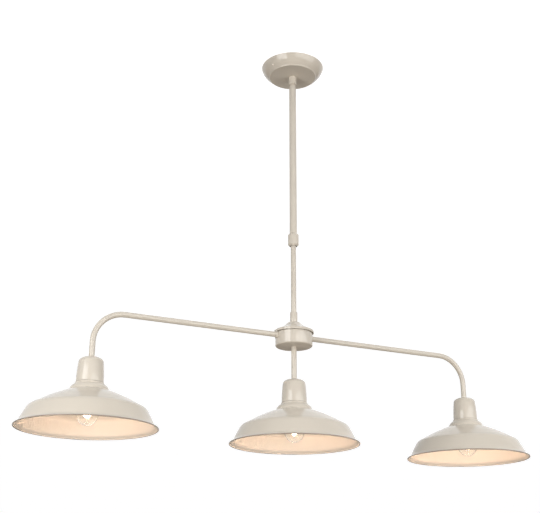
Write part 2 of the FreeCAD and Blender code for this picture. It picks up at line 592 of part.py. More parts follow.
def make_lamp(side, x):
    shift = V(x, 0, RIM_Z)

    def place(name, shape):
        shape.translate(shift)
        keep(name + "_" + side, shape)

    place("shade", spun(*shade_outline(), SHADE_SHEET))
    place("shade_cap", spun(*cap_outline(), CAP_SHEET))

    thread_floor = HOLDER_TOP - NIPPLE_GRIP
    flange_top = SHADE_TOP + HOLDER_FLANGE_HEIGHT
    body_top = SHADE_TOP + HOLDER_BODY_HEIGHT
    shoulder = body_top + HOLDER_SHOULDER_RISE
    shoulder_run = HOLDER_SKIRT_RADIUS - HOLDER_NECK_RADIUS
    holder = turned(*bowed((0, HOLDER_MOUTH),
                           (HOLDER_SKIRT_RADIUS, HOLDER_MOUTH), (HOLDER_SKIRT_RADIUS, SHADE_TOP),
                           (HOLDER_FLANGE_RADIUS, SHADE_TOP), (HOLDER_FLANGE_RADIUS, flange_top),
                           (HOLDER_SKIRT_RADIUS, flange_top + 1), (HOLDER_SKIRT_RADIUS, body_top),
                           (HOLDER_NECK_RADIUS, shoulder, -0.1 * shoulder_run),
                           (HOLDER_NECK_RADIUS, HOLDER_TOP), (0, HOLDER_TOP)))
    holder = holder.cut(rod(HOLDER_BORE_RADIUS, HOLDER_MOUTH - 1, HOLDER_FLOOR))
    holder = holder.cut(rod(NIPPLE_HOLE_RADIUS, thread_floor, HOLDER_TOP + 1))
    place("lampholder", holder.cut(rod(WIRE_WAY_RADIUS, HOLDER_FLOOR + LEAD_IN_HOLDER - 4, HOLDER_TOP)))

    ring_top = SHADE_TOP - SHADE_SHEET
    ring = rounded_rod(RING_RADIUS, ring_top - RING_HEIGHT, ring_top, 1.5, 0)
    place("shade_ring", ring.cut(rod(HOLDER_SKIRT_RADIUS + FIT, ring_top - RING_HEIGHT - 1, ring_top + 1)))

    neck_end = LAMP_CENTRE + math.sqrt(LAMP_RADIUS ** 2 - LAMP_SHOULDER_RADIUS ** 2)
    neck_start, neck = bowed((LAMP_NECK_RADIUS, LAMP_NECK_END),
                        (LAMP_NECK_RADIUS, neck_end + LAMP_SHOULDER_HEIGHT),
                        (LAMP_SHOULDER_RADIUS, neck_end, LAMP_SHOULDER_BOW))
    globe = ((LAMP_RADIUS, LAMP_CENTRE), (0.0, LAMP_CENTRE - LAMP_RADIUS))
    place("lamp_glass", spun(neck_start, [*neck, globe], GLASS_WALL))

    thread_top = LAMP_CAP_FOOT + LAMP_CAP_HEIGHT
    contact = HOLDER_FLOOR - SEAT
    inside = LAMP_NECK_RADIUS + FIT
    place("lamp_cap", turned(*bowed((inside, LAMP_CAP_FOOT), (LAMP_CAP_RADIUS, LAMP_CAP_FOOT),
                                    (LAMP_CAP_RADIUS, thread_top), (HOLDER_NECK_RADIUS, thread_top + 4),
                                    (LAMP_CONTACT_RADIUS, thread_top + 4.6), (LAMP_CONTACT_RADIUS, contact),
                                    (0, contact), (0, thread_top + 3), (HOLDER_NECK_RADIUS - 1.5, thread_top + 2),
                                    (inside, thread_top - 2))))

    stem_end = LAMP_CENTRE + MOUNT_RISE
    filament_level = LAMP_CENTRE + FILAMENT_RISE
    pinch = LAMP_NECK_RADIUS - GLASS_WALL - FIT
    mount = turned(*bowed((0, stem_end), (MOUNT_RADIUS, stem_end), (MOUNT_RADIUS, LAMP_CAP_FOOT - 2),
                          (pinch, LAMP_NECK_END - 1.5, 2.0), (pinch, LAMP_NECK_END - SEAT),
                          (0, LAMP_NECK_END - SEAT)))
    half_gap = 0.5 * (360 - FILAMENT_TURN)
    for angle in (90 - half_gap, 90 + half_gap):
        way_out = V(math.cos(math.radians(angle)), math.sin(math.radians(angle)), 0)
        tip = way_out * FILAMENT_RADIUS + V(0, 0, filament_level)
        root = way_out * (0.5 * MOUNT_RADIUS) + V(0, 0, stem_end + 1)
        wire = tip - root
        mount = mount.fuse(Part.makeCylinder(SUPPORT_WIRE_RADIUS, wire.Length, root, wire))
    place("lamp_mount", mount)

    below_wires = filament_level - 2 * FILAMENT_WIRE_RADIUS
    section = Part.makeCircle(FILAMENT_WIRE_RADIUS, V(FILAMENT_RADIUS, 0, below_wires), V(0, 1, 0))
    coil = Part.Face(Part.Wire(section)).revolve(ORIGIN, UP, FILAMENT_TURN)
    coil.rotate(ORIGIN, UP, 90 + half_gap)
    place("filament", coil)


def make_cap_fittings():
    """The three nipples and nuts that hold cap and lampholder to the tubes, as groups."""
    low = RIM_Z + HOLDER_TOP - NIPPLE_GRIP
    nipples, nuts = [], []
    for x in LAMP_PLACES.values():
        nipple = tube(WIRE_WAY_RADIUS, NIPPLE_RADIUS, low, CAP_TOP_Z + NIPPLE_GRIP)
        locknut = nut(CAP_TOP_Z - CAP_SHEET - NUT_HEIGHT)
        for shape, group in ((nipple, nipples), (locknut, nuts)):
            shape.translate(V(x, 0, 0))
            group.append(shape)
    keep("cap_nipples", *nipples)
    keep("cap_locknuts", *nuts)


def main():
    flex_top = make_ceiling_end()
    make_stem(flex_top)
    make_hub()
    make_arms()
    for side, x in LAMP_PLACES.items():
        make_lamp(side, x)
    make_cap_fittings()
    os.makedirs("parts", exist_ok=True)
    for name, shape in PIECES.items():
        shape.exportStep("parts/" + name + ".step")
        print(name, len(shape.Solids), "solid(s)", round(shape.Volume), "mm3", shape.isValid())


main()
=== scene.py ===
"""Looks of the linear island pendant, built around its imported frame.

Sizes are in metres and written through MM, so that they read as millimetres. Heights on a
shade, its cap and its lamp are measured up from the shade's rim.
"""
import math

import bmesh
import bpy
from bpy.props import FloatProperty, FloatVectorProperty, IntProperty, PointerProperty
from mathutils import Matrix, Vector


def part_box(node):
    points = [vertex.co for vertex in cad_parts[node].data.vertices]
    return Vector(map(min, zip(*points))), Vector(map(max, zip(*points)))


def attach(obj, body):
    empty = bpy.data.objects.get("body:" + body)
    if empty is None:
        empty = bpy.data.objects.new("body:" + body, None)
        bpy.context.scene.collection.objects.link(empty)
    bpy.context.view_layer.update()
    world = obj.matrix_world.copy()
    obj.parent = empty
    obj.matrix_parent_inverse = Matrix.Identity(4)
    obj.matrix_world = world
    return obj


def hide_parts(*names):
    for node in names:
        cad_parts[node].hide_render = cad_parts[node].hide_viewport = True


bl_info = {
    "name": "Island pendant",
    "version": (1, 0, 0),
    "blender": (4, 5, 0),
    "location": "3D view > Sidebar > Pendant",
    "description": "Painted metal, shades, lamps and stage of a linear island pendant",
    "category": "Object",
}

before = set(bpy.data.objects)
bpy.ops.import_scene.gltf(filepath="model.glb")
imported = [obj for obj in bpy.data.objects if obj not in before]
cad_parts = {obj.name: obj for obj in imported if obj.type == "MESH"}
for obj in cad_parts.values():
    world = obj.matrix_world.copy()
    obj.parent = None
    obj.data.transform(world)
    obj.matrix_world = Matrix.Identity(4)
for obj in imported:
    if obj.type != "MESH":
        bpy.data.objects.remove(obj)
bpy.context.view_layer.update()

MM = 0.001
QUARTER_BOW = 1 - math.sqrt(0.5)    # bow of a quarter circle, as a share of its radius
SHARP_ANGLE = math.radians(32)      # a turned edge sharper than this isn't shaded smooth
JOIN_DISTANCE = 0.002 * MM
BEND_STEPS = 20
SIDES = ("left", "centre", "right")
CEILING = "ceiling_and_upper_stem"
COLLAR = "locking_collar"
LOWER = "hub_arms_and_shades"
Z = Vector((0.0, 0.0, 1.0))
LAMP_SHARES = {"left": 1.05, "centre": 1.05, "right": 1.4}     # of the lamps' power


def linear(code):
    """Linear RGB from an sRGB hex colour."""
    values = [int(code[i:i + 2], 16) / 255 for i in (0, 2, 4)]
    return tuple(v / 12.92 if v <= 0.04045 else ((v + 0.055) / 1.055) ** 2.4 for v in values)


def low(node):
    """Lower corner of a frame node's box."""
    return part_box(node)[0]


def high(node):
    """Upper corner of a frame node's box."""
    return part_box(node)[1]


# ------------------------------------------------------------------ outlines, in millimetres
# A bow is how far the arc that ends at the point named stands off its chord: see outline().
# Drops on the cap and on the lid are measured down from their tops.
SHADE_RADIUS = 150.0
SHADE_HOLE_RADIUS = 20.2
SHADE_TOP = 97.0
SHADE_TOP_RADIUS = 28.3
SHADE_NECK_RADIUS = 30.9        # foot of the rounded step that the cap stands on
SHADE_NECK_FOOT = 92.6
SHADE_NECK_BOW = 1.29
SHADE_CROWN_RADIUS = 42.4       # foot of the small dome under the neck
SHADE_CROWN_FOOT = 79.3
SHADE_CROWN_BOW = 2.22
SHADE_SLOPE_INSET = 34.0        # foot of the long slope, in from the rim
SHADE_SLOPE_FOOT = 45.2
SHADE_SLOPE_BOW = 1.93
SHADE_SHOULDER_INSET = 22.0
SHADE_SHOULDER_FOOT = 33.4
SHADE_SHOULDER_BOW = 1.77
SHADE_SKIRT_INSET = 9.4
SHADE_SKIRT_FOOT = 8.4
SHADE_SKIRT_BOW = 0.4
SHADE_FLARE_BOW = -0.65         # hollow, so that the rim turns outwards
CAP_TOP = 150.8
CAP_TOP_RADIUS = 15.5
CAP_SLOPE_RADIUS = 22.9
CAP_SLOPE_DROP = 3.5
CAP_SLOPE_BOW = 0.51
CAP_SHOULDER_RADIUS = 26.7
CAP_SHOULDER_DROP = 10.9
CAP_SHOULDER_BOW = 0.99
CAP_RADIUS = 29.3
CAP_WALL_BOW = 0.6
CAP_CLEAR = 0.1                 # between the cap's foot and the shade's top
RIM_CURL = 0.7                  # height of the rolled rim's inner end, as a share of the bead's radius
NIPPLE_HOLE_RADIUS = 5.1
CANOPY_WALL_BOW = 2.8
CANOPY_EDGE_RADIUS = 62.0       # foot of the wall, where the rounded edge starts
CANOPY_EDGE_HEIGHT = 2.4
CANOPY_EDGE_BOW = 1.0
CANOPY_FLAT_RADIUS = 58.0
SIDE_SCREW_TURN = 18.0          # degrees from the arms
SIDE_SCREW_REACH = 69.6         # from the stem's axis to the middle of the head
SIDE_SCREW_DEPTH = 15.4         # below the ceiling
SIDE_SCREW_HEAD_RADIUS = 2.7
COUPLER_BORE_RADIUS = 5.05
PLUG_BORE_RADIUS = 3.5
PLUG_NECK_LENGTH = 4.0
PLUG_NECK_RADIUS = 7.0
PLUG_NECK_OVERLAP = 1.0         # neck's foot, inside the plug's shoulder
PLUG_INSET = 0.05               # plug's side, in from the stem's
PLUG_GAP = 0.15                 # plug's shoulder, above the stem's end
TUBE_WALL = 1.0
COLLAR_MOUTH_RADIUS = 9.0
COLLAR_MOUTH_EDGE = 0.4
COLLAR_MOUTH_EDGE_BOW = -0.1
COLLAR_CHAMFER = 3.8
COLLAR_CORNER = 0.35            # softened corner where a chamfer meets the wall
COLLAR_CORNER_BOW = -0.3        # as a share of the corner
COLLAR_LIP = 0.5                # flat upper face, out from the stem
COLLAR_CLEAR = 0.08             # between the stem and the collar
COLLAR_SEAT = 12.0              # above the mouth, where the bore meets the stem
COLLAR_BORE_START = 1.6         # above the mouth, where the bore starts to close in
LID_TOP_RADIUS = 11.5           # flat ring that the hub's coupler stands on
LID_SHOULDER_RADIUS = 16.5
LID_SHOULDER_DROP = 2.3
LID_SHOULDER_BOW = 0.7
LID_CONE_RADIUS = 23.8          # foot of the raised cone
LID_CONE_DROP = 9.2
LID_SLOPE_RADIUS = 45.9         # foot of the long slope
LID_SLOPE_DROP = 20.8
LID_RADIUS = 47.4
LID_LIP_DROP = 22.6             # top of the upright lip
LID_LIP_BOW = 0.5
LID_DEPTH = 26.8
DRUM_STEP = 2.6                 # how far the drum steps in, under the lid's lip
DRUM_STEP_TOP = 0.2             # top and foot of the step, below the lip
DRUM_STEP_FOOT = 0.6
DRUM_EDGE = 3.5                 # rounded bottom edge
DRUM_EDGE_BOW = 1.03
HUB_DROP = 2.5                  # lid and coupler's foot, below the frame's
HUB_COUPLER_RISE = 3.0          # coupler's top, above the frame's
DRUM_INSET = 0.3                # drum's wall, in from the frame's
DRUM_FLOOR_DROP = 1.0           # drum's floor and rim, below the frame's
DRUM_RIM_DROP = 2.0
ARM_CLEAR = 0.1                 # between the drum and an arm's end
LAMP_RADIUS = 23.0
LAMP_CENTRE = 29.0
LAMP_SHOULDER_RADIUS = 14.3     # where the globe meets the neck's flare
LAMP_GLOBE_BOW = 6.2
LAMP_FLARE_RISE = 8.5
LAMP_FLARE_BOW = -0.79          # hollow
LAMP_NECK_RADIUS = 11.6
LAMP_NECK_TOP = 64.0
FILAMENT_HEIGHT = 31.0
FILAMENT_GLOW_RADIUS = 9.0

# Rounded lower and upper edges of turned parts, as shares of the softening.
COUPLER_EDGES = (1.6, 5.0)
PLUG_EDGES = (0.3, 4.0)
STEM_EDGES = (0.3, 0.3)
HUB_COUPLER_EDGES = (0.3, 1.6)
FINE_EDGES = (0.2, 0.2)


# ------------------------------------------------------------------ settings
def length(name, description, default):
    """Setting for a length."""
    return FloatProperty(name=name, description=description, default=default, unit="LENGTH", precision=5)


def colour(name, description, code):
    """Setting for a colour, from its sRGB hex code."""
    return FloatVectorProperty(name=name, description=description, default=linear(code),
                               subtype="COLOR", min=0.0, max=1.0)


class PendantSizes(bpy.types.PropertyGroup):
    """Sizes that the frame leaves to the finish."""
    turn_steps: IntProperty(name="Steps", description="Steps round a spun bowl", default=128, min=24)
    tube_steps: IntProperty(name="Tube steps", description="Steps round a tube", default=40, min=12)
    arc_steps: IntProperty(name="Arc steps", description="Steps along an arc of an outline", default=8,
                           min=2)
    shade_wall: length("Shade sheet", "Thickness of the shade's steel", 1.0 * MM)
    cap_wall: length("Cap sheet", "Thickness of cap, canopy and hub steel", 1.2 * MM)
    rim_bead: length("Rim bead", "Radius of the shade's rolled rim", 1.3 * MM)
    glass_wall: length("Glass", "Thickness of the lamp's glass", 0.8 * MM)
    edge: length("Edge", "Softening of turned edges", 0.5 * MM)


class PendantColours(bpy.types.PropertyGroup):
    """Colours of the finishes."""
    paint: colour("Paint", "Stone gloss paint on every outer surface", "D5CCBE")
    enamel: colour("Enamel", "Off-white inside of the shades", "F3ECE0")
    # The rim colour is darker: painted shade of the rolled bead's underside, along with thin wear of its
    # paint.
    rim: colour("Rim shade and wear", "Painted shade and thin worn paint on the shade's rolled rim", "9B8F82")
    lamp_light: colour("Lamp light", "Warm light of the filament", "FFD9BE")


class PendantStage(bpy.types.PropertyGroup):
    """Camera and lights."""
    lens: FloatProperty(name="Lens", description="Focal length in millimetres", default=61.9)
    azimuth: FloatProperty(name="Azimuth", description="Camera's turn about the stem", default=-25.0)
    elevation: FloatProperty(name="Elevation", description="Camera's height angle", default=-20.4)
    roll: FloatProperty(name="Roll", description="Camera's roll in degrees", default=0.234)
    distance: length("Distance", "Camera to the point it aims at", 2247.3 * MM)
    aim_across: length("Aim across", "Aim point along the arms", -63.4 * MM)
    aim_up: length("Aim up", "Aim point above the arms", 193.2 * MM)
    softbox_power: FloatProperty(name="Softboxes", description="Brightness of each softbox", default=4.55)
    ambient: FloatProperty(name="Ambient", description="Level of the room's plain light", default=0.10)
    lamp_power: FloatProperty(name="Lamps", description="Power of each lamp in watts", default=0.31)


# ------------------------------------------------------------------ materials
def add_node(tree, kind, inputs=None, **settings):
    """Add a node, set its settings, then link or set its inputs."""
    made = tree.nodes.new(kind)
    for name, value in settings.items():
        setattr(made, name, value)
    for name, value in (inputs or {}).items():
        if isinstance(value, bpy.types.NodeSocket):
            tree.links.new(value, made.inputs[name])
        else:
            made.inputs[name].default_value = value
    return made


def start_material(name):
    """A new material without nodes, and its node tree."""
    finish = bpy.data.materials.new(name)
    finish.use_nodes = True
    finish.node_tree.nodes.clear()
    return finish, finish.node_tree


def end_material(tree, shader):
    """Link the shader to the material's output."""
    add_node(tree, "ShaderNodeOutputMaterial", {"Surface": shader})


def mottled(tree, base, size, depth):
    """A colour that drifts by the given share over patches of the given size, and its place."""
    where = add_node(tree, "ShaderNodeTexCoord").outputs["Object"]
    drift = add_node(tree, "ShaderNodeTexNoise", {"Vector": where, "Scale": 1 / size, "Detail": 3.0})
    ramp = add_node(tree, "ShaderNodeValToRGB", {"Fac": drift.outputs["Fac"]})
    dark, light = ramp.color_ramp.elements
    dark.position, light.position = 0.3, 0.7
    dark.color = (*[v * (1 - depth) for v in base], 1)
    light.color = (*[min(1.0, v * (1 + depth)) for v in base], 1)
    return ramp.outputs["Color"], where


def raised_grain(tree, where, size, detail, strength, height):
    """Normal of a surface raised by noise with lumps of the given size and height."""
    noise = add_node(tree, "ShaderNodeTexNoise", {"Vector": where, "Scale": 1 / size, "Detail": detail})
    bump = add_node(tree, "ShaderNodeBump",
                    {"Height": noise.outputs["Fac"], "Strength": strength, "Distance": height})
    return bump.outputs["Normal"]


def gloss_paint(name, base):
    """Wet-sprayed gloss on steel: sharp reflections under a faint orange peel, and no grain."""
    finish, tree = start_material(name)
    shade, where = mottled(tree, base, 90 * MM, 0.015)
    shader = add_node(tree, "ShaderNodeBsdfPrincipled", {
        "Base Color": shade, "Roughness": 0.05, "IOR": 1.5,
        "Normal": raised_grain(tree, where, 5 * MM, 1.0, 0.03, 0.2 * MM)})
    end_material(tree, shader.outputs["BSDF"])
    return finish


def satin_enamel(name, base):
    """Stoved off-white enamel inside a shade: soft broad gloss that spreads the lamp's light."""
    finish, tree = start_material(name)
    shade, where = mottled(tree, base, 60 * MM, 0.012)
    shader = add_node(tree, "ShaderNodeBsdfPrincipled", {
        "Base Color": shade, "Roughness": 0.42, "IOR": 1.5,
        "Normal": raised_grain(tree, where, 4 * MM, 1.0, 0.06, 0.2 * MM)})
    end_material(tree, shader.outputs["BSDF"])
    return finish


def plated_metal(name, base, roughness, scratch):
    """Plated or turned metal: mirror-like, blurred by fine marks that run round the part."""
    finish, tree = start_material(name)
    shade, where = mottled(tree, base, 12 * MM, 0.05)
    stretched = add_node(tree, "ShaderNodeMapping", {"Vector": where, "Scale": (1.0, 1.0, 12.0)})
    marks = raised_grain(tree, stretched.outputs["Vector"], scratch, 2.0, 0.15, 0.1 * MM)
    shader = add_node(tree, "ShaderNodeBsdfPrincipled", {
        "Base Color": shade, "Metallic": 1.0, "Roughness": roughness, "Normal": marks})
    end_material(tree, shader.outputs["BSDF"])
    return finish


def moulded_plastic(name, base, roughness, grain):
    """Moulded plastic: even colour with the faint grain of the mould's surface."""
    finish, tree = start_material(name)
    shade, where = mottled(tree, base, 15 * MM, 0.03)
    shader = add_node(tree, "ShaderNodeBsdfPrincipled", {
        "Base Color": shade, "Roughness": roughness, "IOR": 1.49,
        "Normal": raised_grain(tree, where, grain, 2.0, 0.2, 0.1 * MM)})
    end_material(tree, shader.outputs["BSDF"])
    return finish


def blown_glass(name):
    """Clear soda-lime glass with the slow waves of blowing."""
    finish, tree = start_material(name)
    where = add_node(tree, "ShaderNodeTexCoord").outputs["Object"]
    shader = add_node(tree, "ShaderNodeBsdfPrincipled", {
        "Base Color": (*linear("FDFEFD"), 1), "Roughness": 0.0, "IOR": 1.5, "Transmission Weight": 1.0,
        "Normal": raised_grain(tree, where, 14 * MM, 1.0, 0.12, 0.4 * MM)})
    end_material(tree, shader.outputs["BSDF"])
    return finish


def hot_tungsten(name, light):
    """Coiled tungsten at working heat: warm white, brighter along the middle of each turn."""
    finish, tree = start_material(name)
    where = add_node(tree, "ShaderNodeTexCoord").outputs["Object"]
    turns = add_node(tree, "ShaderNodeTexWave", {"Vector": where, "Scale": 1 / (2 * MM)})
    ramp = add_node(tree, "ShaderNodeValToRGB", {"Fac": turns.outputs["Fac"]})
    ramp.color_ramp.elements[0].color = (*light, 1)
    ramp.color_ramp.elements[1].color = (*linear("FFF7E7"), 1)
    shader = add_node(tree, "ShaderNodeBsdfPrincipled", {
        "Base Color": (*linear("958E86"), 1), "Roughness": 0.5,
        "Emission Color": ramp.outputs["Color"], "Emission Strength": 60.0})
    end_material(tree, shader.outputs["BSDF"])
    return finish


MATERIALS = {}


def material(name):
    """Each finish is made once, on first use."""
    if name not in MATERIALS:
        colours = bpy.context.scene.pendant_colours
        makers = {
            "stone gloss paint": lambda: gloss_paint(name, tuple(colours.paint)),
            # Gloss paint in the darker rim colour: painted shade on the rolled rim, along with wear.
            "rim shade and wear paint": lambda: gloss_paint(name, tuple(colours.rim)),
            "off-white enamel": lambda: satin_enamel(name, tuple(colours.enamel)),
            "lamp glass": lambda: blown_glass(name),
            "hot tungsten": lambda: hot_tungsten(name, tuple(colours.lamp_light)),
            "zinc-plated steel": lambda: plated_metal(name, linear("B9BCC0"), 0.32, 0.6 * MM),
            "nickel plate": lambda: plated_metal(name, linear("D9D4CA"), 0.18, 0.4 * MM),
            "turned brass": lambda: plated_metal(name, linear("C9A35A"), 0.28, 0.5 * MM),
            "natural nylon": lambda: moulded_plastic(name, linear("E6E2D6"), 0.45, 0.8 * MM),
            "black nylon": lambda: moulded_plastic(name, linear("151413"), 0.5, 0.6 * MM),
            "phenolic resin": lambda: moulded_plastic(name, linear("ECE7DB"), 0.35, 0.9 * MM),
            "flex sheath": lambda: moulded_plastic(name, linear("DAD6CC"), 0.5, 1.2 * MM),
        }
        MATERIALS[name] = makers[name]()
    return MATERIALS[name]


# ------------------------------------------------------------------ modelling helpers
def outline(*stations):
    """Points of an outline from (r, z, bow) stations: the bow of the arc that ends at a station.

    A bow is how far the arc's middle stands off its chord, to the left of its run, and a
    station without one ends a straight line.
    """
    steps = bpy.context.scene.pendant_sizes.arc_steps
    points = [Vector(stations[0])]
    for station in stations[1:]:
        start, end = points[-1], Vector(station[:2])
        bow = station[2] if len(station) == 3 else 0.0
        if bow:
            run = end - start
            left = Vector((-run.y, run.x)).normalized()
            radius = (run.length_squared / 4 + bow * bow) / (2 * abs(bow))
            centre = (start + end) / 2 + left * (bow - math.copysign(radius, bow))
            swing = 4 * math.atan2(2 * bow, run.length)
            for i in range(1, steps):
                points.append(centre + Matrix.Rotation(-swing * i / steps, 2) @ (start - centre))
        points.append(end)
    return [tuple(point) for point in points]


def inner_side(points, thickness):
    """The outline moved inwards by a sheet's thickness, run back from its end to its start."""
    moved = []
    for i, (x, y) in enumerate(points):
        before, after = points[max(i - 1, 0)], points[min(i + 1, len(points) - 1)]
        way = Vector((after[0] - before[0], after[1] - before[1])).normalized()
        moved.append((max(x + way.y * thickness, 0.0), y - way.x * thickness))
    return moved[::-1]


def sheet_points(outer, thickness):
    """Closed outline of a spun sheet, from its outer face."""
    return [*outer, *inner_side(outer, thickness), outer[0]]


def rounded(radius, bottom, top, edges, bore):
    """Closed outline of a turned bush in metres, with quarter-round outer edges.

    The edges are the lower and the upper one, each as a share of the softening.
    """
    low_edge, high_edge = (share * bpy.context.scene.pendant_sizes.edge for share in edges)
    return outline((bore, bottom), (radius - low_edge, bottom),
                   (radius, bottom + low_edge, -QUARTER_BOW * low_edge),
                   (radius, top - high_edge),
                   (radius - high_edge, top, -QUARTER_BOW * high_edge),
                   (bore, top), (bore, bottom))


def in_metres(points):
    """Outline points given in millimetres, in metres."""
    return [(r * MM, z * MM) for r, z in points]


def spin_outline(mesh, points, steps, index=0):
    """Spin an outline about the Z axis; its faces get the material index given."""
    old = set(mesh.faces)
    verts = [mesh.verts.new((r, 0.0, z)) for r, z in points]
    edges = [mesh.edges.new(pair) for pair in zip(verts, verts[1:])]
    bmesh.ops.spin(mesh, geom=verts + edges, cent=(0, 0, 0), axis=Z, angle=math.tau, steps=steps,
                   use_merge=True)
    for face in mesh.faces:
        if face not in old:
            face.material_index = index


def tube_run(mesh, radius, start, way, legs, steps):
    """Tube wall from a start point: legs are lengths, or (centre, axis, angle) for a bend."""
    turn = Z.rotation_difference(way).to_matrix().to_4x4()
    ring = bmesh.ops.create_circle(mesh, segments=steps, radius=radius,
                                   matrix=Matrix.Translation(start) @ turn)
    rim = list({edge for vert in ring["verts"] for edge in vert.link_edges})
    for leg in legs:
        if isinstance(leg, tuple):
            centre, axis, angle = leg
            made = bmesh.ops.spin(mesh, geom=rim, cent=centre, axis=axis, angle=angle, steps=BEND_STEPS)
            way = Matrix.Rotation(angle, 3, axis) @ way
            rim = [item for item in made["geom_last"] if isinstance(item, bmesh.types.BMEdge)]
        else:
            made = bmesh.ops.extrude_edge_only(mesh, edges=rim)
            verts = [item for item in made["geom"] if isinstance(item, bmesh.types.BMVert)]
            bmesh.ops.translate(mesh, verts=verts, vec=way * leg)
            rim = [item for item in made["geom"] if isinstance(item, bmesh.types.BMEdge)
                   and all(vert in verts for vert in item.verts)]


def move(mesh, offset):
    """Move the whole mesh."""
    bmesh.ops.translate(mesh, verts=mesh.verts, vec=offset)


def close_mesh(mesh):
    """Join doubles, point the faces outwards and shade them smooth, with sharp edges kept."""
    bmesh.ops.remove_doubles(mesh, verts=mesh.verts, dist=JOIN_DISTANCE)
    bmesh.ops.recalc_face_normals(mesh, faces=mesh.faces)
    for face in mesh.faces:
        face.smooth = True
    for edge in mesh.edges:
        edge.smooth = edge.is_boundary or edge.calc_face_angle(0.0) < SHARP_ANGLE


def mesh_object(name, mesh):
    """Turn a bmesh into an object of the scene."""
    data = bpy.data.meshes.new(name)
    mesh.to_mesh(data)
    mesh.free()
    made = bpy.data.objects.new(name, data)
    bpy.context.scene.collection.objects.link(made)
    return made


def add_piece(name, mesh, body, finishes, replaced):
    """Turn a bmesh into a piece of the pendant that rides a body and stands for CAD nodes."""
    close_mesh(mesh)
    piece = mesh_object(name, mesh)
    for finish in finishes:
        piece.data.materials.append(material(finish))
    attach(piece, body)
    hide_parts(*replaced)
    return piece


def painted_piece(name, points, body, node, steps, at=(0.0, 0.0, 0.0)):
    """A painted solid or spun sheet, turned from one closed outline, that stands for one node."""
    mesh = bmesh.new()
    spin_outline(mesh, points, steps)
    move(mesh, Vector(at))
    add_piece(name, mesh, body, ["stone gloss paint"], [node])


# ------------------------------------------------------------------ shades and caps
def lamp_axis(side):
    """Middle of a shade's rim."""
    middle = (low("shade_" + side) + high("shade_" + side)) / 2
    return Vector((middle.x, middle.y, low("shade_" + side).z))


class PENDANT_OT_shades(bpy.types.Operator):
    """Three spun shades: stepped neck, domed crown, skirt, flare and a rolled rim"""
    bl_idname = "pendant.shades"
    bl_label = "Add shades"

    def execute(self, context):
        sizes = context.scene.pendant_sizes
        bead = sizes.rim_bead / MM
        rim = SHADE_RADIUS
        outer = outline((SHADE_HOLE_RADIUS, SHADE_TOP),
                        (SHADE_TOP_RADIUS, SHADE_TOP),
                        (SHADE_NECK_RADIUS, SHADE_NECK_FOOT, SHADE_NECK_BOW),
                        (SHADE_CROWN_RADIUS, SHADE_CROWN_FOOT, SHADE_CROWN_BOW),
                        (rim - SHADE_SLOPE_INSET, SHADE_SLOPE_FOOT, SHADE_SLOPE_BOW),
                        (rim - SHADE_SHOULDER_INSET, SHADE_SHOULDER_FOOT, SHADE_SHOULDER_BOW),
                        (rim - SHADE_SKIRT_INSET, SHADE_SKIRT_FOOT, SHADE_SKIRT_BOW),
                        (rim - bead, 2 * bead, SHADE_FLARE_BOW))
        rolled = outline(outer[-1], (rim - bead, 0.0, bead), (rim - 2 * bead, RIM_CURL * bead))
        inner = inner_side(outer, sizes.shade_wall / MM)
        inner[0] = rolled[-1]
        # The rolled rim takes the third finish, the darker rim colour: painted shade under the bead, and
        # wear.
        finishes = ["stone gloss paint", "off-white enamel", "rim shade and wear paint"]
        for side in SIDES:
            mesh = bmesh.new()
            for index, part in enumerate((outer, inner, rolled)):
                spin_outline(mesh, in_metres(part), sizes.turn_steps, index)
            spin_outline(mesh, in_metres([inner[-1], outer[0]]), sizes.turn_steps)
            move(mesh, lamp_axis(side))
            add_piece("shade_skin_" + side, mesh, LOWER, finishes, ["shade_" + side])
        return {"FINISHED"}


class PENDANT_OT_shade_caps(bpy.types.Operator):
    """Three tapered cups that cover the lampholders and sit on the shades' necks"""
    bl_idname = "pendant.shade_caps"
    bl_label = "Add shade caps"

    def execute(self, context):
        sizes = context.scene.pendant_sizes
        outer = outline((NIPPLE_HOLE_RADIUS, CAP_TOP),
                        (CAP_TOP_RADIUS, CAP_TOP),
                        (CAP_SLOPE_RADIUS, CAP_TOP - CAP_SLOPE_DROP, CAP_SLOPE_BOW),
                        (CAP_SHOULDER_RADIUS, CAP_TOP - CAP_SHOULDER_DROP, CAP_SHOULDER_BOW),
                        (CAP_RADIUS, SHADE_TOP + CAP_CLEAR, CAP_WALL_BOW))
        points = in_metres(sheet_points(outer, sizes.cap_wall / MM))
        for side in SIDES:
            painted_piece("cap_skin_" + side, points, LOWER, "shade_cap_" + side, sizes.turn_steps,
                          lamp_axis(side))
        return {"FINISHED"}


# ------------------------------------------------------------------ canopy and stem
class PENDANT_OT_canopy(bpy.types.Operator):
    """Spun ceiling canopy with a bowed wall, rounded edge and flat floor, and its screws' heads"""
    bl_idname = "pendant.canopy"
    bl_label = "Add canopy"

    def execute(self, context):
        sizes = context.scene.pendant_sizes
        floor = low("canopy").z / MM
        outer = outline((high("canopy").x / MM, 0.0),
                        (CANOPY_EDGE_RADIUS, floor + CANOPY_EDGE_HEIGHT, CANOPY_WALL_BOW),
                        (CANOPY_FLAT_RADIUS, floor, CANOPY_EDGE_BOW),
                        (NIPPLE_HOLE_RADIUS, floor))
        painted_piece("canopy_skin", in_metres(sheet_points(outer, sizes.cap_wall / MM)), CEILING,
                      "canopy", sizes.turn_steps)

        screws = bmesh.new()
        turn = math.radians(SIDE_SCREW_TURN)
        for side in (-1, 1):
            across = side * SIDE_SCREW_REACH * MM
            place = Vector((across * math.cos(turn), across * math.sin(turn), -SIDE_SCREW_DEPTH * MM))
            bmesh.ops.create_uvsphere(screws, u_segments=32, v_segments=16,
                                      radius=SIDE_SCREW_HEAD_RADIUS * MM, matrix=Matrix.Translation(place))
        add_piece("canopy_screw_heads", screws, CEILING, ["nickel plate"], ["canopy_side_screws"])
        return {"FINISHED"}


def span(node):
    """Bottom, top and radius of an upright turned node."""
    return low(node).z, high(node).z, high(node).x


